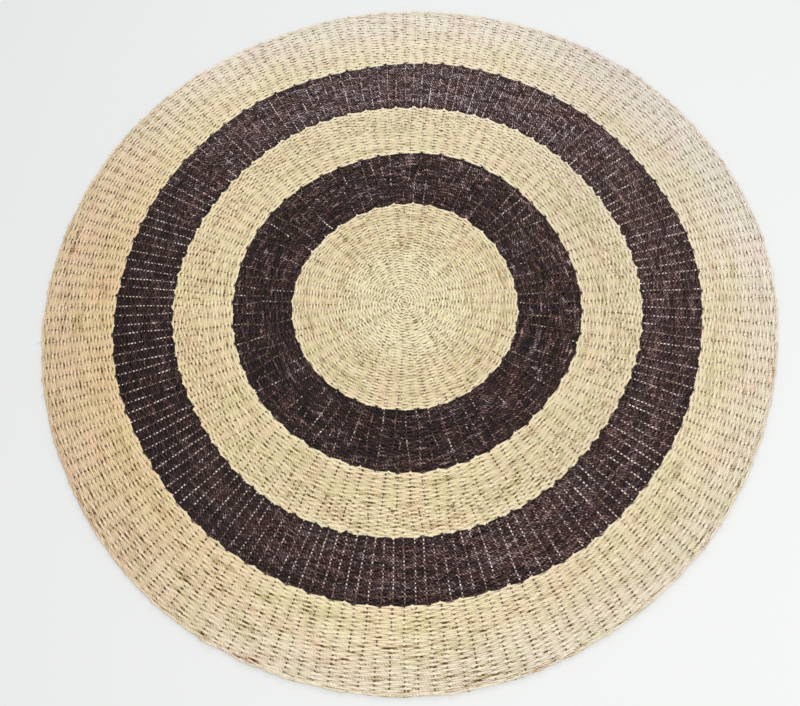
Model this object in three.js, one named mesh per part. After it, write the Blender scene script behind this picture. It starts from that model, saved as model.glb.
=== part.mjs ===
// A round seagrass rug, woven in one piece and lying flat. Millimetres, +Z up.
// The origin is on the floor, under the middle of the rug's bounding box.
import * as THREE from 'three';

// Driving dimensions
const rimRadius = 858; // mean radius of the outermost row
const warpThickness = 3; // the radial cords that the rows pass over and under
const cordThickness = 3.3; // one row's cord, pressed flat by its neighbours
const rimRounding = 3.2; // the outermost cord rounds the edge, above and below

// The hand-beaten rows are no true circles: each wave is a gentle swell of the rim.
const rimWaves = [
  { swells: 2, height: 4.3, peakDegrees: 47 },
  { swells: 3, height: 6.1, peakDegrees: 21 },
  { swells: 8, height: 1.2, peakDegrees: 1 },
];

// Steps of the mesh
const outlineSteps = 192;
const roundingSteps = 4;

const thickness = warpThickness + 2 * cordThickness;

// Distance of the rim from the weave's centre, in the direction of an angle in radians
function rimAt(angle) {
  return rimWaves.reduce((radius, wave) => {
    const peak = THREE.MathUtils.degToRad(wave.peakDegrees);
    return radius + wave.height * Math.cos(wave.swells * (angle - peak));
  }, rimRadius);
}

// The rim seen from above, moved so that the middle of its box is at the origin
function rimOutline() {
  const points = [];
  for (let step = 0; step < outlineSteps; step += 1) {
    const angle = (step / outlineSteps) * 2 * Math.PI;
    const radius = rimAt(angle);
    points.push(new THREE.Vector2(radius * Math.cos(angle), radius * Math.sin(angle)));
  }
  const middle = new THREE.Box2().setFromPoints(points).getCenter(new THREE.Vector2());
  return points.map((point) => point.sub(middle));
}

// The edge in section, from the underside up to the top: how far in from the rim, and how high
function edgeProfile() {
  const corners = [
    { height: rimRounding, from: -Math.PI / 2, to: 0 },
    { height: thickness - rimRounding, from: 0, to: Math.PI / 2 },
  ];
  const profile = [];
  for (const corner of corners) {
    for (let step = 0; step <= roundingSteps; step += 1) {
      const angle = corner.from + ((corner.to - corner.from) * step) / roundingSteps;
      profile.push({
        inset: rimRounding * (1 - Math.cos(angle)),
        height: corner.height + rimRounding * Math.sin(angle),
      });
    }
  }
  return profile;
}

// A closed disc: one ring of points for each step of the edge's profile, and a flat fan on each face
function discGeometry(outline, profile) {
  const positions = [];
  for (const { inset, height } of profile) {
    for (const point of outline) {
      const edge = point.clone().setLength(point.length() - inset);
      positions.push(edge.x, edge.y, height);
    }
  }
  const underside = positions.length / 3;
  positions.push(0, 0, 0);
  const top = underside + 1;
  positions.push(0, 0, thickness);

  const count = outline.length;
  const faces = [];
  for (let i = 0; i < count; i += 1) {
    const next = (i + 1) % count;
    faces.push(underside, next, i);
    for (let ring = 0; ring < profile.length - 1; ring += 1) {
      const low = ring * count;
      const high = low + count;
      faces.push(low + i, low + next, high + next);
      faces.push(low + i, high + next, high + i);
    }
    const last = (profile.length - 1) * count;
    faces.push(top, last + i, last + next);
  }

  const geometry = new THREE.BufferGeometry();
  geometry.setAttribute('position', new THREE.Float32BufferAttribute(positions, 3));
  geometry.setIndex(faces);
  geometry.computeVertexNormals();
  return geometry;
}

// The rug: natural straw-coloured seagrass. Its dark rings are dyed cord, and are not raised.
function makeRug() {
  const seagrass = new THREE.MeshStandardMaterial({
    color: new THREE.Color().setRGB(0.8, 0.7, 0.5, THREE.SRGBColorSpace),
    roughness: 0.8,
    metalness: 0,
  });
  const rug = new THREE.Mesh(discGeometry(rimOutline(), edgeProfile()), seagrass);
  rug.name = 'rug';
  return rug;
}

const group = new THREE.Group();
group.add(makeRug());

export default group;
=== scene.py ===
"""A round seagrass rug, woven in code: every row of cord goes over and under the radial warps.

Metres, +Z up, around the flat CAD solid of the rug.
"""

import math

import bpy
import numpy as np
from mathutils import Matrix, Vector


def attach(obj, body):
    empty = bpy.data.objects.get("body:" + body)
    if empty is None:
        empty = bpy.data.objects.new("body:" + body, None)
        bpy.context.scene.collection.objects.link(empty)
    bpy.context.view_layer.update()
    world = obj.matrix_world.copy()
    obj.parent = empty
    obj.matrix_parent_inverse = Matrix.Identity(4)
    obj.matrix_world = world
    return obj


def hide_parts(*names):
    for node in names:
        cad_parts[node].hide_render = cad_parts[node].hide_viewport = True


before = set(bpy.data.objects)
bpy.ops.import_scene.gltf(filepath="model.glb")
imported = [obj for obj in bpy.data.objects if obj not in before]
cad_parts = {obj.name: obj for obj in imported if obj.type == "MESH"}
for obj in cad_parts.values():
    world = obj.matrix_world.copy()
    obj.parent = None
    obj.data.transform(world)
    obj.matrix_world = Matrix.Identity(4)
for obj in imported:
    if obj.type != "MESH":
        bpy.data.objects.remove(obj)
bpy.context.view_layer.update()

MM = 0.001
TURN = 2 * math.pi
rng = np.random.default_rng(11)

# Driving dimensions, which repeat those of the CAD solid
WARP_THICKNESS = 3.0 * MM
CORD_THICKNESS = 3.3 * MM
THICKNESS = WARP_THICKNESS + 2 * CORD_THICKNESS
MIDDLE_HEIGHT = THICKNESS / 2
OUTLINE_STEPS = 192

# The bands of the rug from the centre out. edge is the mean radius of a band's outer edge in millimetres,
# and its waves, (swells round the rug, height, degrees of a peak), are how far it is from a circle. tone is
# how pale its cord is, mottle how uneven that is from crossing to crossing, warp how pale its warps are, and
# width how wide the cord is for its rows. Under natural cord the warps are kept dark, as painted shade in
# the holes. painted_hole_shade is how dark the painted shade in the holes between its rows is. gaping sets
# over how many warps the rows gape, so that the warp shows between them: at 0 it is one in sixteen.
BANDS = (
    {
        "name": "centre",
        "edge": 134,
        "rows": 36,
        "dyed": False,
        "tone": 0.5,
        "painted_hole_shade": 0.31,
        "gaping": 0.0,
        "warp": 0.4,
        "mottle": 0.08,
        "width": 0.755,
        "pieces": 1,
        "waves": (),
    },
    {
        "name": "centre_ring",
        "edge": 264,
        "rows": 36,
        "dyed": False,
        "tone": 0.44,
        "painted_hole_shade": 0.55,
        "gaping": 0.0,
        "warp": 0.34,
        "mottle": 0.075,
        "width": 0.95,
        "pieces": 1,
        "waves": ((1, 1.4, -88), (3, 2.3, 74), (4, 1.1, -17)),
    },
    {
        "name": "inner_dark_ring",
        "edge": 407,
        "rows": 34,
        "dyed": True,
        "tone": 0.46,
        "painted_hole_shade": 1.5,
        "gaping": -0.03,
        "warp": 0.3,
        "mottle": 0.11,
        "width": 1.01,
        "pieces": 1,
        "waves": ((1, 1.9, 67), (4, 2.4, -16), (5, 2.0, -10)),
    },
    {
        "name": "middle_ring",
        "edge": 547,
        "rows": 33,
        "dyed": False,
        "tone": 0.45,
        "painted_hole_shade": 0.95,
        "gaping": 0.0,
        "warp": 0.26,
        "mottle": 0.065,
        "width": 0.97,
        "pieces": 1,
        "waves": ((1, 1.6, 127), (2, 1.9, 57), (3, 3.0, 9), (4, 2.2, -8), (6, 2.3, -8)),
    },
    {
        "name": "outer_dark_ring",
        "edge": 686,
        "rows": 33,
        "dyed": True,
        "tone": 0.565,
        "painted_hole_shade": 1.3,
        "gaping": 0.22,
        "warp": 0.52,
        "mottle": 0.06,
        "width": 0.97,
        "pieces": 2,
        "waves": ((2, 1.5, 38), (3, 2.9, 18), (4, 1.4, -3), (6, 2.2, 5), (10, 1.4, 5)),
    },
    {
        "name": "border",
        "edge": 858,
        "rows": 41,
        "dyed": False,
        "tone": 0.49,
        "painted_hole_shade": 1.0,
        "gaping": 0.0,
        "warp": 0.26,
        "mottle": 0.065,
        "width": 1.0,
        "pieces": 2,
        "waves": ((2, 4.3, 47), (3, 6.1, 21), (8, 1.2, 1)),
    },
)

CENTRE_GAP = 3.2 * MM  # radius of the little hole that the first row leaves
RIM = BANDS[-1]["edge"] * MM

# Where natural cord meets dyed cord, the natural rows are paler, and the dyed ones darker. The rows there
# also swing in and out from warp to warp, by a share of their pitch. LEFT is how much of the change in tone,
# and of the swing, each next row keeps.
PALER_EDGE = 0.22
DARKER_EDGE = 0.12
TONE_LEFT = 0.5
EDGE_SWING = 0.36
SWING_LEFT = 0.7

# The last rows at the rim are pairs of cords: where one goes over a warp, the other goes under it.
EDGE_ROWS = 2
EDGE_TONE = 0.4
EDGE_WIDTH = 0.78

# Warps are added as the rug grows: from this radius in millimetres there are this many.
WARP_STAGES = ((2, 8), (22, 16), (55, 30), (110, 50), (238, 70), (335, 98), (480, 172))
WARP_SETTLES = 45 * MM  # how far out new warps and their neighbours have spread evenly
WARP_INSET = 2.5 * MM  # how far inside the rim the warps end

# A warp's width and height as shares of its thickness: they are a little more, so that cords sit tight on it.
WARP_WIDTH = 1.15
WARP_HEIGHT = 1.25

# The warps sway to both sides in two waves, which come back after TURN times these lengths in metres. Each is
# this high, or near the centre this share of the radius.
SWAY_LENGTHS = (0.031, 0.083)
SWAY = 1.1 * MM
SWAY_SHARE = 0.03

# A cord's half width and half height as shares of the rows' pitch, where it dives between two warps and
# where it lies on one. There it is pressed flat, and mostly touches the next cord but one.
DIVE = {"width": 0.545, "height": 0.31}
TOP = {"width": 1.05, "height": 0.3}

# At this distance from its warp, or at this share of the way to the next one, a cord is on its way down
# again. CORD_LIFT is how high it is there, as a share of its height over the warp.
PASS = 4.5 * MM
PASS_SHARE = 0.27
CORD_LIFT = 0.36

# How far a crossing of dyed or natural cord mostly lies from its warp, and the most of the way to the next
# warp that this may be. No crossing is further off than STRAY_LIMIT times that.
CROSSING_STRAY = {True: 3.4 * MM, False: 5.2 * MM}
CROSSING_STRAY_SHARE = 0.28
STRAY_LIMIT = 1.6

# How uneven the crossings are, as standard deviations: in their length, in their width, which stays within
# limits, and in how far they lie aside from their row, in pitches. PRESSED is how much lower one of them may
# lie, as a share of its height over the rug's middle.
PASS_SPREAD = 0.2
WIDTH_SPREAD = 0.12
WIDTH_LIMITS = (0.72, 1.1)
ASIDE_SPREAD = 0.2
PRESSED = 0.12

# How uneven the rows are. Slow waves, with about so many swells round the rug, change a cord's width and
# tone, and half as much its width between two warps. Fast waves move it aside, in pitches, and the most at
# the rim. The last is how much rows differ in tone, as a standard deviation.
SLOW_SWELLS = 9
SLOW_WAVE = 0.04
FAST_SWELLS = 40
FAST_WAVE = 0.04
EDGE_FAST_WAVE = 0.2
ROW_TONE_SPREAD = 0.03

# The rows are packed closest on one side of the rug and loosest on the other: hardly so in the middle, and
# the more so the further out. On the closest side cords are wider, their painted shade in the holes is
# lighter, and cords are lower past their warps, by at most these shares.
CLOSEST_SIDE = math.radians(60)
CLOSER = 0.08
PAINTED_SHADE_CUT = 0.97
LOWER = 0.4

# Rows gape over the warps of low rank, and are at most this much narrower there. The ranks swing along the
# warps, so that some gape for a few rows, and not for the next.
GAPE = 0.42
GAPE_RUN = 12 * MM
GAPE_SWING = 0.2

# Along every warp, stretches with open holes, which painted shade darkens, follow on stretches where they are
# nearly closed.
OPEN_RUN = 14 * MM
OPEN_WIDTH = 0.06
OPEN_SHADE = 0.5

# How dark the painted shade in the darkest holes is for a painted_hole_shade of 1, and the power that makes
# dark ones rarer than pale ones
HOLE_SHADE = 1.85
HOLE_SHADE_POWER = 1.5

# Painted shade: how much darker a cord's tone is made at its flanks over a warp, where the next cords shade
# it, and on the side that it turns to the warp, which shows only down in the holes of the weave
FLANK_SHADE = 0.08
INNER_SHADE = 0.36

# How uneven a warp's tone is, under dyed and under natural cord, and how much paler the warps under natural
# cord are on the side where the rows are packed closest, which lightens their painted shade there
WARP_TONE_SPREAD = {True: 0.15, False: 0.1}
WARP_PAINTED_SHADE_SWING = 0.18

# Stray ends of fibre: how many, their lengths and half widths in millimetres, and their tones. From root to
# tip their points lie at these shares of their length, and are this thick.
FIBRES = 420
FIBRE_LENGTHS = (7, 26)
FIBRE_HALVES = (0.2, 0.38)
FIBRE_TONES = (0.4, 0.8)
FIBRE_POINTS = (0.0, 0.33, 0.67, 1.0)
FIBRE_TAPER = (1, 0.9, 0.7, 0.3)

# Most fibres start in this outer share of the rug, and none nearer the rim than the inset. Their roots are
# this deep in the weave, and no point is lower than LOWEST. TURNED and BENT are how far they turn from the
# rows and bend, as standard deviations in radians.
FIBRE_OUTER = 0.45
FIBRE_INSET = 6 * MM
FIBRE_ROOT = 1.2 * MM
FIBRE_LOWEST = 0.5 * MM
FIBRE_TURNED = 0.5
FIBRE_BENT = 0.7

# Steps of the meshes, and at how many angles a row's mean radius is taken
MEAN_STEPS = 36
CORD_SIDES = 6
CORD_TOP = 0.87  # how high that six-sided section reaches, as a share of its half height
WARP_SIDES = 5
WARP_STEP = 24 * MM
WARP_TONE_STEP = 2 * MM  # a warp's tone changes this near to a band's edge
FIBRE_SIDES = 3


def waves_at(waves, angle):
    """How far an edge is from its circle, in metres."""
    return sum(height * MM * np.cos(swells * (angle - math.radians(peak))) for swells, height, peak in waves)


def weave_centre():
    """Where the rows' centre is: the solid's origin is under the middle of the rim's box."""
    angle = np.linspace(0, TURN, OUTLINE_STEPS, endpoint=False)
    radius = RIM + waves_at(BANDS[-1]["waves"], angle)
    x, y = radius * np.cos(angle), radius * np.sin(angle)
    return -np.array([x.min() + x.max(), y.min() + y.max(), 0]) / 2


CENTRE = weave_centre()


def spread(shape, deviation, limit=2.0):
    """Random numbers round 0, none of them further out than limit standard deviations."""
    return deviation * rng.standard_normal(shape).clip(-limit, limit)


def uneven(angle, swells, size, waves=6):
    """A random closed wave with about that many swells round the rug."""
    orders = rng.integers(swells // 2 + 1, swells * 2, waves)
    return size * sum(np.cos(order * angle + rng.uniform(0, TURN)) for order in orders) / math.sqrt(waves / 2)


def closeness_at(radius, angle):
    """How closely the rows are packed: from -1 to 1 at the rim, and nearly 0 in the middle."""
    return radius / RIM * np.cos(angle - CLOSEST_SIDE)


# Warps


def warp_stages():
    """For each stage its start, and its warps: their numbers, their first angles and their even angles."""
    stages = []
    numbers, angles = [], np.zeros(0)
    made = 0
    for start, count in WARP_STAGES:
        old = len(numbers)
        order, begin = [], []
        if old == 0:
            order = list(range(count))
            begin = TURN * (np.arange(count) + 0.5) / count
            made = count
        else:
            # New warps go in midway between old ones, as evenly as they can.
            followed = {int((k + 0.5) * old / (count - old)) for k in range(count - old)}
            for k in range(old):
                order.append(numbers[k])
                begin.append(angles[k])
                if k in followed:
                    gap = (angles[(k + 1) % old] - angles[k]) % TURN
                    order.append(made)
                    begin.append(angles[k] + gap / 2)
                    made += 1
            begin = np.array(begin)
        even = TURN * np.arange(len(order)) / len(order)
        even += np.mean(begin - even)
        stages.append({"start": start * MM, "numbers": order, "begin": begin, "even": even})
        numbers, angles = order, even
    return stages


STAGES = warp_stages()
SWAYS = rng.uniform(0, TURN, (max(max(s["numbers"]) for s in STAGES) + 1, 2))
RANKS = rng.random(len(SWAYS))


def warps_at(radius):
    """The warps that a row at this radius crosses: their numbers and angles, in order."""
    rounding = 1e-9
    stage = [s for s in STAGES if s["start"] <= radius + rounding][-1]
    share = np.clip((radius - stage["start"]) / WARP_SETTLES, 0, 1)
    share = share * share * (3 - 2 * share)
    angles = stage["begin"] * (1 - share) + stage["even"] * share
    sways = SWAYS[stage["numbers"]]
    sway = sum(np.sin(radius / length + sways[:, i]) for i, length in enumerate(SWAY_LENGTHS))
    return stage["numbers"], angles + sway * min(SWAY, SWAY_SHARE * radius) / radius


# Meshes


class Tubes:
    """Collects tubes, and makes one mesh of them all.

    The UV map strand is metres along a tube and the share of the way around it, for the fibre's pattern.
    In the map OFBake every face has a place of its own.
    """

    LONGEST_SHIFT = 50  # metres: each tube shows another stretch of the same fibre
    STRIP_MARGIN = 0.04  # of a strip's width, kept free in the map OFBake on both of its sides

    def __init__(self, sides):
        self.turn = TURN * np.arange(sides) / sides
        self.sides = sides
        self.count = 0
        self.cells = 0
        self.points, self.tones, self.faces = [], [], []
        self.strand, self.unfolded = [], []

    def add(self, middles, width_ways, half_widths, half_heights, tones, closed, flanks=0.0, inner=0.0):
        """A tube along these middles, with width_ways as the unit vectors across it.

        Its tone is darkened at its flanks by flanks, and on its underside by inner, or on top where that is
        negative: painted shade.
        """
        n = len(middles)
        ahead = np.roll(middles, -1, 0) - np.roll(middles, 1, 0)
        if not closed:
            ahead[0] = middles[1] - middles[0]
            ahead[-1] = middles[-1] - middles[-2]
        up = np.cross(width_ways, ahead)
        up /= np.linalg.norm(up, axis=1)[:, None]
        cos, sin = np.cos(self.turn)[None, :], np.sin(self.turn)[None, :]
        across = cos[:, :, None] * (half_widths[:, None] * width_ways)[:, None, :]
        rise = sin[:, :, None] * (half_heights[:, None] * up)[:, None, :]
        self.points.append((middles[:, None, :] + across + rise).reshape(-1, 3))
        flanks, inner = np.broadcast_to(flanks, n)[:, None], np.broadcast_to(inner, n)[:, None]
        # Painted shade, taken off the tone at the flanks and on the side turned to the warp
        shades = flanks * cos**4 + (-inner * sin).clip(0, None)
        self.tones.append((tones[:, None] - shades).ravel())

        spans = n if closed else n - 1
        step = np.arange(spans)[:, None] + np.zeros((1, self.sides), int)
        side = np.arange(self.sides)[None, :] + np.zeros((spans, 1), int)
        after, beside = (step + 1) % n, (side + 1) % self.sides
        corners = ((step, side), (after, side), (after, beside), (step, beside))
        quads = np.stack([self.count + a * self.sides + b for a, b in corners], -1)
        self.faces += quads.reshape(-1, 4).tolist()

        gaps = np.linalg.norm(np.roll(middles, -1, 0) - middles, axis=1)[:spans]
        along = np.concatenate([[0], np.cumsum(gaps)]) + rng.uniform(0, self.LONGEST_SHIFT)
        near, far = along[step], along[step + 1]
        low, high = side / self.sides, (side + 1) / self.sides
        self.strand.append(np.stack([near, low, far, low, far, high, near, high], -1).reshape(-1, 2))
        cell = self.cells + step
        start, end = 0 * cell, 0 * cell + 1
        unfolded = [cell, start, low, cell, end, low, cell, end, high, cell, start, high]
        self.unfolded.append(np.stack(unfolded, -1).reshape(-1, 3))
        self.cells += spans
        if not closed:
            self.close_ends(n, along[0], along[-1])
        self.count += n * self.sides

    def close_ends(self, n, *ends):
        """The two flat ends of the newest tube of n points."""
        first = self.count + np.arange(self.sides)
        self.faces += [first[::-1].tolist(), (first + (n - 1) * self.sides).tolist()]
        # Each end lies in the middle of a cell, and nearly fills it.
        rim = 0.5 + 0.4 * np.stack([np.cos(self.turn), np.sin(self.turn)], -1)
        for end in ends:
            self.strand.append(rim * MM + [end, 0])
            self.unfolded.append(np.concatenate([np.full((self.sides, 1), self.cells), rim], -1))
            self.cells += 1

    def bake_map(self):
        """The tubes cut into strips that fill the square, so that baked colours keep each cord apart."""
        across = math.ceil(math.sqrt(self.cells * self.sides / 2))
        strips = math.ceil(self.cells / across)
        cell, u, v = np.concatenate(self.unfolded).T
        v = self.STRIP_MARGIN + (1 - 2 * self.STRIP_MARGIN) * v
        return np.stack([(cell % across + u) / across, (cell // across + v) / strips], -1)

    def make(self, name):
        """The mesh object of every tube added so far."""
        mesh = bpy.data.meshes.new(name)
        mesh.from_pydata(np.concatenate(self.points).tolist(), [], self.faces)
        for layer, places in (("strand", np.concatenate(self.strand)), ("OFBake", self.bake_map())):
            mesh.uv_layers.new(name=layer).data.foreach_set("uv", places.astype(np.float32).ravel())
        mesh.uv_layers["strand"].active_render = True
        # The tone attribute holds each cord's own tone less its painted shade.
        tone = mesh.attributes.new("tone", "FLOAT", "POINT")
        tone.data.foreach_set("value", np.concatenate(self.tones).astype(np.float32))
        mesh.shade_smooth()
        made = bpy.data.objects.new(name, mesh)
        bpy.context.scene.collection.objects.link(made)
        return made


class Row:
    """One closed ring of cord, which goes over every second warp and under the others.

    It has three points for each warp: on it, just past it, and just before the next. nearest is the warp that
    each point is nearest to, as its place in numbers. height is how high the cord is there, from -1 at the
    rug's underside to 1 at its top. near is 1 where the rows are packed closest, and opening where the holes
    are most open and their painted shade darkest.
    """

    def __init__(self, band, radius_at, pitch, parity):
        self.band, self.radius_at, self.pitch = band, radius_at, pitch
        self.radius = float(np.mean(radius_at(np.linspace(0, TURN, MEAN_STEPS))))
        self.numbers, crossings = warps_at(self.radius)
        n = self.warps = len(self.numbers)
        stray = min(CROSSING_STRAY[band["dyed"]] / self.radius, CROSSING_STRAY_SHARE * TURN / n)
        crossings = crossings + spread(n, stray, STRAY_LIMIT)
        gaps = (np.roll(crossings, -1) - crossings) % TURN
        passed = np.minimum(PASS / self.radius, PASS_SHARE * gaps)
        passed = passed[:, None] * (1 + spread((n, 2), PASS_SPREAD))
        angle = crossings[:, None] + np.stack([0 * gaps, passed[:, 0], gaps - passed[:, 1]], -1)
        self.angle = angle.ravel()
        self.nearest = (np.repeat(np.arange(n), 3) + np.tile([0, 0, 1], n)) % n
        self.closeness = closeness_at(self.radius, self.angle)
        self.near = (1 + self.closeness) / 2
        self.opening = np.sin(self.radius / OPEN_RUN + 2 * SWAYS[self.numbers, 1])

        # Between two warps the cord swings from one face of the rug to the other.
        side = np.where((np.arange(n) + parity) % 2 == 0, 1.0, -1.0)
        past = CORD_LIFT * (1 - LOWER * self.near) * np.tile([1, 1, -1], n)
        self.height = np.repeat(side, 3) * np.where(np.arange(3 * n) % 3 == 0, 1.0, past)
        self.at_warp = np.abs(self.height)

    def half_widths(self):
        """Half the cord's width, which differs from crossing to crossing and along the row."""
        ranks = RANKS[self.numbers] + GAPE_SWING * np.sin(self.radius / GAPE_RUN + SWAYS[self.numbers, 0])
        thick = (1 + WIDTH_SPREAD * rng.standard_normal(self.warps)).clip(*WIDTH_LIMITS)
        thick *= 1 - GAPE * (ranks < self.band["gaping"]) * rng.random(self.warps)
        thick *= 1 - OPEN_WIDTH * self.opening
        dive = DIVE["width"] * (1 + 0.5 * uneven(self.angle, SLOW_SWELLS, SLOW_WAVE))
        widest = TOP["width"] * (1 + CLOSER * self.closeness) * self.band["width"] * thick[self.nearest]
        widest *= 1 + uneven(self.angle, SLOW_SWELLS, SLOW_WAVE)
        return self.pitch * (dive + (widest - dive) * self.at_warp**3)

    def half_heights(self):
        """Half the cord's height."""
        return self.pitch * (DIVE["height"] + (TOP["height"] - DIVE["height"]) * self.at_warp)

    def course(self, half_heights, ragged, swing):
        """The middles of the cord, and the unit vectors that point from the weave's centre to them."""
        aside = spread(self.warps, ASIDE_SPREAD)[self.nearest] * self.at_warp**2
        aside = self.pitch * (aside + uneven(self.angle, FAST_SWELLS, ragged))
        aside += self.pitch * swing * self.height
        rise = (MIDDLE_HEIGHT - CORD_TOP * half_heights) * self.height
        rise *= 1 - PRESSED * rng.random(self.warps)[self.nearest]
        out = np.stack([np.cos(self.angle), np.sin(self.angle), 0 * self.angle], -1)
        middles = CENTRE + out * (self.radius_at(self.angle) + aside)[:, None]
        middles[:, 2] += MIDDLE_HEIGHT + rise
        return middles, out

    def tones(self, tone):
        """How pale the cord is, round this mean tone."""
        tone = tone + ROW_TONE_SPREAD * rng.standard_normal() + uneven(self.angle, SLOW_SWELLS, SLOW_WAVE)
        return tone + self.band["mottle"] * rng.standard_normal(self.warps)[self.nearest]

    def shades(self):
        """Painted shade: how much darker the cord's tone is at its flanks, and on the side it turns to the
        warps.
        """
        holes = HOLE_SHADE * self.band["painted_hole_shade"] * rng.random(self.warps) ** HOLE_SHADE_POWER
        holes *= 1 + OPEN_SHADE * self.opening
        # The painted shade is lighter where the rows are packed closest.
        shade = holes[self.nearest] * (1 - PAINTED_SHADE_CUT * self.near)
        inner = INNER_SHADE * np.sign(self.height) * self.at_warp**0.5 * shade
        return FLANK_SHADE * self.at_warp * shade, inner


def add_row(tubes, band, radius_at, pitch, parity, tone, ragged=FAST_WAVE, swing=0.0):
    """Adds one row of cord to the tubes.

    ragged is how high its fast waves are, and swing how far it swings out where it goes over a warp, both in
    pitches.
    """
    row = Row(band, radius_at, pitch, parity)
    half_widths, half_heights = row.half_widths(), row.half_heights()
    middles, out = row.course(half_heights, ragged, swing)
    tones = row.tones(tone)
    flanks, inner = row.shades()
    tubes.add(middles, out, half_widths, half_heights, tones, True, flanks, inner)


def start_of(k):
    """The mean radius where a band starts."""
    return BANDS[k - 1]["edge"] * MM if k else CENTRE_GAP


def pitch_of(k):
    """The mean distance between a band's rows."""
    return (BANDS[k]["edge"] * MM - start_of(k)) / BANDS[k]["rows"]


def row_radius(k, row):
    """The function of angle that gives the radius of one of a band's rows."""
    band = BANDS[k]
    inner_waves = BANDS[k - 1]["waves"] if k else ()
    share = (row + 0.5) / band["rows"]

    def radius_at(angle):
        inner = start_of(k) + waves_at(inner_waves, angle)
        outer = band["edge"] * MM + waves_at(band["waves"], angle)
        return inner + (outer - inner) * share

    return radius_at


def colour_changes(k, row):
    """Where a band's natural cord meets dyed cord, or its dyed cord natural cord.

    Each is the way there, -1 for in and 1 for out, and how many rows of the band lie between.
    """
    changes = []
    for way, rows_between in ((-1, row), (1, BANDS[k]["rows"] - 1 - row)):
        if 0 <= k + way < len(BANDS) and BANDS[k + way]["dyed"] != BANDS[k]["dyed"]:
            changes.append((way, rows_between))
    return changes


def weave_band(k):
    """The rows of one band, as one or more pieces, each with its inner and outer mean radius."""
    band = BANDS[k]
    rows = band["rows"] - (EDGE_ROWS if band is BANDS[-1] else 0)
    before = sum(b["rows"] for b in BANDS[:k])
    pitch, inside = pitch_of(k), start_of(k)
    paler = -DARKER_EDGE if band["dyed"] else PALER_EDGE
    made = []
    for part in range(band["pieces"]):
        first = part * rows // band["pieces"]
        last = (part + 1) * rows // band["pieces"]
        tubes = Tubes(CORD_SIDES)
        for row in range(first, last):
            changes = colour_changes(k, row)
            nearest = min((rows_between for _, rows_between in changes), default=math.inf)
            tone = band["tone"] + paler * TONE_LEFT**nearest
            swing = sum(way * EDGE_SWING * (-SWING_LEFT) ** rows_between for way, rows_between in changes)
            add_row(tubes, band, row_radius(k, row), pitch, before + row, tone, swing=swing)
        name = band["name"] if band["pieces"] == 1 else f"{band['name']}_{part + 1}"
        made.append((tubes.make(name), inside + pitch * first, inside + pitch * last))
    return made


def weave_edge():
    """The pairs of cords that lock the rim."""
    k = len(BANDS) - 1
    edge = {**BANDS[k], "width": EDGE_WIDTH}
    tubes = Tubes(CORD_SIDES)
    for row in range(edge["rows"] - EDGE_ROWS, edge["rows"]):
        for parity in (0, 1):
            add_row(tubes, edge, row_radius(k, row), pitch_of(k), parity, EDGE_TONE, EDGE_FAST_WAVE)
    return tubes.make("edge_cords")


def warp_radii():
    """The radii of the warps' points: every stage's start, both sides of every edge, and steps between."""
    stops = [stage["start"] for stage in STAGES] + [RIM]
    for band in BANDS[:-1]:
        edge = band["edge"] * MM
        stops += [edge - WARP_TONE_STEP, edge + WARP_TONE_STEP]
    stops.sort()
    radii = []
    for start, end in zip(stops[:-1], stops[1:]):
        steps = max(1, round((end - start) / WARP_STEP))
        radii += np.linspace(start, end, steps, endpoint=False).tolist()
    return radii + [RIM - WARP_INSET]


def weave_warps():
    """The radial warps, from the radius where each is added out to the rim."""
    lines = {}
    for radius in warp_radii():
        numbers, angles = warps_at(radius)
        reach = radius * (1 + waves_at(BANDS[-1]["waves"], angles) / RIM)
        for number, x, y in zip(numbers, reach * np.cos(angles), reach * np.sin(angles)):
            lines.setdefault(number, []).append((x, y, MIDDLE_HEIGHT))

    tubes = Tubes(WARP_SIDES)
    inner_edges = [band["edge"] * MM for band in BANDS[:-1]]
    half = WARP_THICKNESS / 2
    for line in lines.values():
        n = len(line)
        line = np.array(line)
        middles = CENTRE + line
        reach = np.linalg.norm(line[:, :2], axis=1)
        bands = [BANDS[k] for k in np.searchsorted(inner_edges, reach)]
        dyed = np.array([band["dyed"] for band in bands])
        tones = np.array([band["warp"] for band in bands])
        closeness = closeness_at(reach, math.atan2(line[-1, 1], line[-1, 0]))
        # Under natural cord the warps' low tones are painted shade in the holes, lighter where the rows are
        # packed closest.
        tones += np.where(dyed, 0, WARP_PAINTED_SHADE_SWING * closeness)
        tones += np.where(dyed, WARP_TONE_SPREAD[True], WARP_TONE_SPREAD[False]) * rng.standard_normal(n)
        along = middles[-1] - middles[0]
        across = np.array([along[1], -along[0], 0]) / np.linalg.norm(along[:2])
        widths, heights = np.full(n, WARP_WIDTH * half), np.full(n, WARP_HEIGHT * half)
        tubes.add(middles, np.tile(across, (n, 1)), widths, heights, tones, False)
    return tubes.make("warps")


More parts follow.
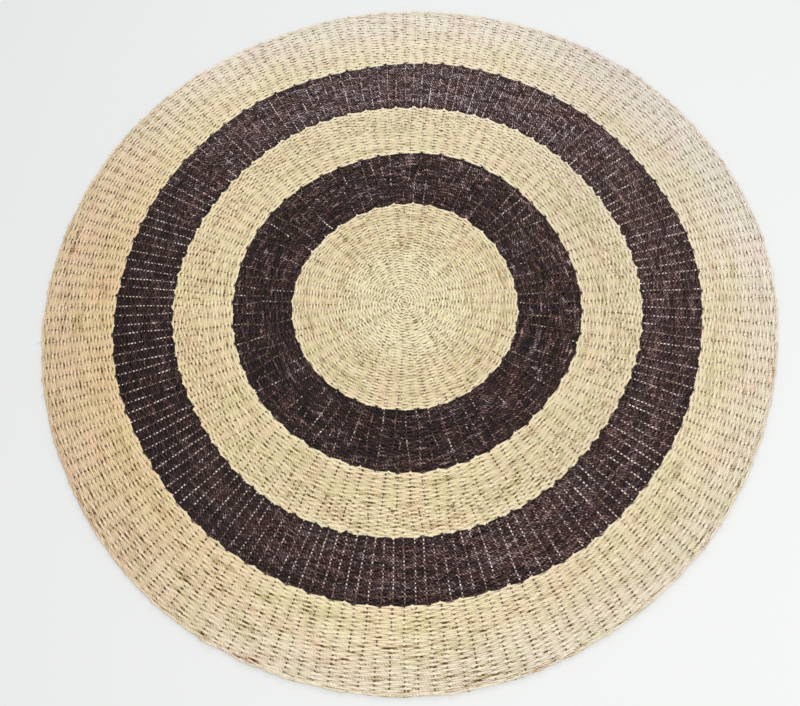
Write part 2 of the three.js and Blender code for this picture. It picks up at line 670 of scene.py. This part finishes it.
def scatter_fibres():
    """Stray fibre ends that stand off the cords a little, most of them near the rim."""
    tubes = Tubes(FIBRE_SIDES)
    for k in range(FIBRES):
        # Two of every three fibres are near the rim.
        radius = RIM * (1 - FIBRE_OUTER * rng.random() ** 2) if k % 3 else RIM * math.sqrt(rng.random())
        radius = min(radius, RIM - FIBRE_INSET)
        angle = rng.uniform(0, TURN)
        turn = angle + math.pi / 2 + FIBRE_TURNED * rng.standard_normal()
        bend = FIBRE_BENT * rng.standard_normal()
        length = rng.uniform(*FIBRE_LENGTHS) * MM

        # Every fifth fibre is on the underside. From its root each rises almost to the rug's face, and its
        # tip sinks in again by half its root's depth.
        top = THICKNESS if k % 5 else 0.0
        inward = -FIBRE_ROOT if top else FIBRE_ROOT
        x, y = radius * math.cos(angle), radius * math.sin(angle)
        line = []
        for share in FIBRE_POINTS:
            height = top + inward * (1 - 2.0 * share * (1 - share) - 0.5 * share)
            line.append((x, y, max(FIBRE_LOWEST, height)))
            x += length / 3 * math.cos(turn + bend * share)
            y += length / 3 * math.sin(turn + bend * share)
        n = len(line)
        across = np.tile([-math.sin(turn), math.cos(turn), 0], (n, 1))
        half = rng.uniform(*FIBRE_HALVES) * MM * np.array(FIBRE_TAPER)
        tones = np.full(n, rng.uniform(*FIBRE_TONES))
        tubes.add(CENTRE + np.array(line), across, half, half, tones, False)
    return tubes.make("fibre_ends")


# Materials

# A cord's two plies turn once round each other in this length. The noise of its fibres and leaves has so many
# cells in a metre along it, and once round it. That of the patches of colour has so many in a radian round
# the rug, and in a metre out from its centre: a patch is longer along the rows than across them.
TWIST = 14 * MM
FIBRE_GRAIN = (70.0, 9.0)
LEAF_GRAIN = (110.0, 2.0)
PATCH_GRAIN = (8, 24.0)

# How high the fibres are for the plies, and how deep the grooves between the plies
FIBRE_RELIEF = 0.6
GROOVE_DEPTH = 0.4 * MM


def srgb(red, green, blue):
    """A colour given as it looks, from 0 to 255, as the shader's linear numbers."""
    shares = (red / 255, green / 255, blue / 255)
    return tuple(((c + 0.055) / 1.055) ** 2.4 if c > 0.04 else c / 12.92 for c in shares)


class Nodes:
    """Short ways to add shader nodes to a material. Values may be numbers or other nodes' outputs."""

    def __init__(self, name):
        self.material = bpy.data.materials.new(name)
        self.material.use_nodes = True
        self.tree = self.material.node_tree
        self.shader = self.tree.nodes["Principled BSDF"]

    def add(self, kind, *inputs, output=0, **settings):
        made = self.tree.nodes.new(kind)
        for key, value in settings.items():
            setattr(made, key, value)
        for socket, value in zip(made.inputs, inputs):
            self.set(socket, value)
        return made.outputs[output]

    def set(self, socket, value):
        if isinstance(value, bpy.types.NodeSocket):
            self.tree.links.new(value, socket)
        elif value is not None:
            socket.default_value = value

    def math(self, operation, *values):
        return self.add("ShaderNodeMath", *values, operation=operation)

    def vector(self, operation, *values, output=0):
        return self.add("ShaderNodeVectorMath", *values, operation=operation, output=output)

    def noise(self, place, detail):
        made = self.tree.nodes.new("ShaderNodeTexNoise")
        self.set(made.inputs["Vector"], place)
        made.inputs["Scale"].default_value = 1.0
        made.inputs["Detail"].default_value = detail
        return made.outputs[0]

    def ramp(self, factor, *stops):
        made = self.tree.nodes.new("ShaderNodeValToRGB")
        self.set(made.inputs[0], factor)
        elements = made.color_ramp.elements
        while len(elements) < len(stops):
            elements.new(0.5)
        for element, (place, colour) in zip(elements, stops):
            element.position = place
            element.color = (*colour, 1)
        return made.outputs[0]

    def multiply(self, share, first, second):
        """The first colour times the second. A Mix node's colours are inputs 6 and 7, and output 2."""
        made = self.tree.nodes.new("ShaderNodeMix")
        made.data_type = "RGBA"
        made.blend_type = "MULTIPLY"
        for number, value in ((0, share), (6, first), (7, second)):
            self.set(made.inputs[number], value)
        return made.outputs[2]

    def grain(self, along, around, grain, detail):
        """Noise this fine along a cord and around it."""
        along, around = self.math("MULTIPLY", along, grain[0]), self.math("MULTIPLY", around, grain[1])
        return self.noise(self.add("ShaderNodeCombineXYZ", along, around), detail)


def cord_material(name, stops, tints, fibre, painted_ply_light, leaf_share, roughness, specular, bump, zones=()):
    """Twisted plant fibre: fine fibres, the grooves between two plies, and patches of other leaves.

    stops are the colours of the tones, and tints those of the patches. fibre, painted_ply_light and
    leaf_share are how much each pattern changes the tone: the plies' pattern in the tone is painted highlight
    and shade along the twist. Each of zones is a colour that the cord takes on in a part of the rug: towards
    a direction in degrees, or all round it where that is None, with how far from the middle it starts and is
    full, in metres.
    """
    m = Nodes(name)
    # The tone attribute holds the cord's own tone less its painted shade.
    tone = m.add("ShaderNodeAttribute", attribute_name="tone", output=2)
    strand = m.add("ShaderNodeUVMap", uv_map="strand")
    along = m.add("ShaderNodeSeparateXYZ", strand)
    around = along.node.outputs[1]

    # The plies' pattern in the tone is painted highlight and shade. The leaves' noise weakens it, so that not
    # every ply is painted as catching the light.
    twisted = m.math("MULTIPLY_ADD", along, 1 / TWIST, around)
    ply = m.math("SINE", m.math("MULTIPLY", twisted, 2 * TURN))
    leaf = m.grain(along, around, LEAF_GRAIN, 1.0)
    fibres = m.grain(along, twisted, FIBRE_GRAIN, 3.0)

    spot = m.add("ShaderNodeTexCoord", output=3)
    flat = m.vector("MULTIPLY", spot, (1, 1, 0))
    around_rug = m.vector("MULTIPLY", m.vector("NORMALIZE", flat), (PATCH_GRAIN[0], PATCH_GRAIN[0], 0))
    outward = m.math("MULTIPLY", m.vector("LENGTH", flat, output=1), PATCH_GRAIN[1])
    patch = m.vector("ADD", around_rug, m.add("ShaderNodeCombineXYZ", 0.0, 0.0, outward))
    patch = m.noise(patch, 2.0)

    value = m.math("MULTIPLY_ADD", fibres, fibre, m.math("SUBTRACT", tone, fibre / 2))
    value = m.math("MULTIPLY_ADD", m.math("MULTIPLY", ply, leaf), painted_ply_light, value)
    value = m.math("MULTIPLY_ADD", m.math("SUBTRACT", leaf, 0.5), leaf_share, value)
    colour = m.multiply(1.0, m.ramp(value, *stops), m.ramp(patch, *tints))
    for direction, start, full, tint in zones:
        if direction is None:
            reach = m.vector("LENGTH", flat, output=1)
        else:
            way = (math.cos(math.radians(direction)), math.sin(math.radians(direction)), 0)
            reach = m.vector("DOT_PRODUCT", spot, way, output=1)
        share = m.add("ShaderNodeMapRange", reach, start, full, 0.0, 1.0, interpolation_type="SMOOTHSTEP")
        colour = m.multiply(share, colour, (*tint, 1))
    m.set(m.shader.inputs["Base Color"], colour)

    bumped = m.tree.nodes.new("ShaderNodeBump")
    bumped.inputs["Strength"].default_value = bump
    bumped.inputs["Distance"].default_value = GROOVE_DEPTH
    m.set(bumped.inputs["Height"], m.math("MULTIPLY_ADD", fibres, FIBRE_RELIEF, ply))
    m.set(m.shader.inputs["Normal"], bumped.outputs[0])
    m.shader.inputs["Roughness"].default_value = roughness
    m.shader.inputs["Specular IOR Level"].default_value = specular
    return m.material


def make_materials():
    """The three materials, by the name of the slot that each fills."""
    natural = cord_material(
        "natural_seagrass",
        (
            # The two lowest stops colour the painted shade in the holes.
            (0.0, srgb(92, 70, 28)),
            (0.15, srgb(170, 150, 98)),
            (0.3, srgb(222, 217, 202)),
            (0.55, srgb(248, 247, 240)),
            (1.0, srgb(255, 255, 253)),
        ),
        (
            (0.34, srgb(255, 246, 240)),
            (0.45, srgb(255, 251, 246)),
            (0.55, srgb(254, 252, 244)),
            (0.66, srgb(250, 250, 236)),
        ),
        fibre=0.4,
        painted_ply_light=0.2,
        leaf_share=0.2,
        roughness=0.55,
        specular=0.45,
        bump=0.6,
        zones=(
            (185, 0.3, 0.9, srgb(243, 227, 212)),
            (240, -0.7, -0.1, srgb(255, 252, 241)),
            (345, 0.12, 0.42, srgb(248, 248, 252)),
            (None, 0.86, 0.7, srgb(255, 251, 233)),
            (None, 0.11, 0.17, srgb(252, 246, 243)),
        ),
    )
    dyed = cord_material(
        "dyed_seagrass",
        (
            # The lowest stop colours the painted shade in the holes, and the pale grey top stop painted
            # glints.
            (0.1, srgb(10, 4, 3)),
            (0.45, srgb(50, 28, 23)),
            (0.7, srgb(105, 83, 84)),
            (0.9, srgb(206, 195, 198)),
        ),
        ((0.35, srgb(255, 230, 226)), (0.65, srgb(250, 246, 248))),
        fibre=1.1,
        painted_ply_light=0.35,
        leaf_share=0.8,
        roughness=0.38,
        specular=0.28,
        bump=0.9,
        # These zones darken the dyed cord, most towards 188° and least towards 90°: painted shade for the
        # side of the rug that catches less of the window's sheen.
        zones=(
            (190, -0.1, 0.35, srgb(228, 222, 220)),
            (188, 0.3, 0.8, srgb(142, 97, 86)),
            (270, -0.6, -0.2, srgb(226, 216, 212)),
            (330, 0.42, 0.6, srgb(230, 224, 224)),
        ),
    )
    warp = cord_material(
        "warp_cord",
        # The brown low stops colour the warps' painted shade in the holes under natural cord.
        ((0.1, srgb(104, 80, 42)), (0.3, srgb(152, 130, 96)), (0.5, srgb(255, 243, 232))),
        ((0.4, srgb(225, 215, 205)), (0.55, srgb(255, 250, 248))),
        fibre=0.6,
        painted_ply_light=0.1,
        leaf_share=0.0,
        roughness=0.8,
        specular=0.3,
        bump=0.4,
    )
    return {"natural_seagrass": natural, "dyed_seagrass": dyed, "warp_cord": warp}


def finish_piece(piece, slot, materials):
    """Gives a piece its finish, and says that it is part of the rug."""
    piece.data.materials.append(materials[slot])
    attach(piece, "root")


def make_rug():
    """Weaves the warps, every band, the edge cords and the fibre ends, gives each piece its finish, and hides
    the CAD solid of the rug.
    """
    materials = make_materials()
    warps, edge, fibres = weave_warps(), weave_edge(), scatter_fibres()
    finish_piece(warps, "warp_cord", materials)
    finish_piece(edge, "natural_seagrass", materials)
    finish_piece(fibres, "natural_seagrass", materials)
    for k, band in enumerate(BANDS):
        for piece, inner, outer in weave_band(k):
            finish_piece(piece, "dyed_seagrass" if band["dyed"] else "natural_seagrass", materials)
            last = piece.name == "border_2"
            if last:
                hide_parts("rug")


# The scene round the rug

# The camera was fitted to the photograph. Its place is from the centre of the weave's top, in metres, and its
# focal length is in pixels of a picture that is so many wide.
CAMERA_TILT = math.radians(21.22)
CAMERA_ROLL = math.radians(-6.27)
CAMERA_PLACE = np.array([-0.0239, -0.8824, 1.9467])
PIXELS_WIDE = 800
FOCAL_PIXELS = 911.1

FLOOR_HALF = 6.0
FLOOR_COLOUR = (0.77, 0.775, 0.76, 1)
ROOM_COLOUR = (0.98, 0.99, 1.0, 1)
ROOM_STRENGTH = 0.72


def make_camera():
    """The photograph's view: above the rug and a little in front of it."""
    data = bpy.data.cameras.new("camera")
    data.sensor_fit = "HORIZONTAL"
    data.lens = FOCAL_PIXELS / PIXELS_WIDE * data.sensor_width
    camera = bpy.data.objects.new("camera", data)
    place = CENTRE + CAMERA_PLACE + np.array([0, 0, THICKNESS])
    turn = Matrix.Rotation(CAMERA_TILT, 4, "X") @ Matrix.Rotation(CAMERA_ROLL, 4, "Z")
    camera.matrix_world = Matrix.Translation(Vector(place)) @ turn
    bpy.context.scene.collection.objects.link(camera)
    bpy.context.scene.camera = camera


def make_floor():
    """A plain pale floor."""
    low, high = -FLOOR_HALF, FLOOR_HALF
    mesh = bpy.data.meshes.new("floor")
    mesh.from_pydata([(low, low, 0), (high, low, 0), (high, high, 0), (low, high, 0)], [], [(0, 1, 2, 3)])
    floor = bpy.data.objects.new("floor", mesh)
    bpy.context.scene.collection.objects.link(floor)
    material = bpy.data.materials.new("floor")
    material.use_nodes = True
    shader = material.node_tree.nodes["Principled BSDF"]
    shader.inputs["Base Color"].default_value = FLOOR_COLOUR
    shader.inputs["Roughness"].default_value = 0.6
    shader.inputs["Specular IOR Level"].default_value = 0.2
    mesh.materials.append(material)


def area_light(name, place, size, power, colour):
    """A soft rectangular light that faces the rug."""
    data = bpy.data.lights.new(name, "AREA")
    data.shape = "RECTANGLE"
    data.size, data.size_y = size
    data.energy = power
    data.color = colour
    lamp = bpy.data.objects.new(name, data)
    lamp.location = place
    lamp.rotation_euler = (-Vector(place)).to_track_quat("-Z", "Y").to_euler()
    bpy.context.scene.collection.objects.link(lamp)


def make_lights():
    """A window's soft light from behind, and an even white room."""
    area_light("window", place=(0.9, 4.2, 3.6), size=(3.4, 2.4), power=50, colour=(0.94, 0.97, 1.0))
    area_light("ceiling", place=(1.2, -1.4, 4.2), size=(2.6, 2.6), power=85, colour=(1.0, 1.0, 1.0))
    world = bpy.data.worlds.new("room")
    world.use_nodes = True
    background = world.node_tree.nodes["Background"]
    background.inputs["Color"].default_value = ROOM_COLOUR
    background.inputs["Strength"].default_value = ROOM_STRENGTH
    bpy.context.scene.world = world
    bpy.context.scene.view_settings.view_transform = "Standard"


make_camera()
make_floor()
make_lights()
make_rug()
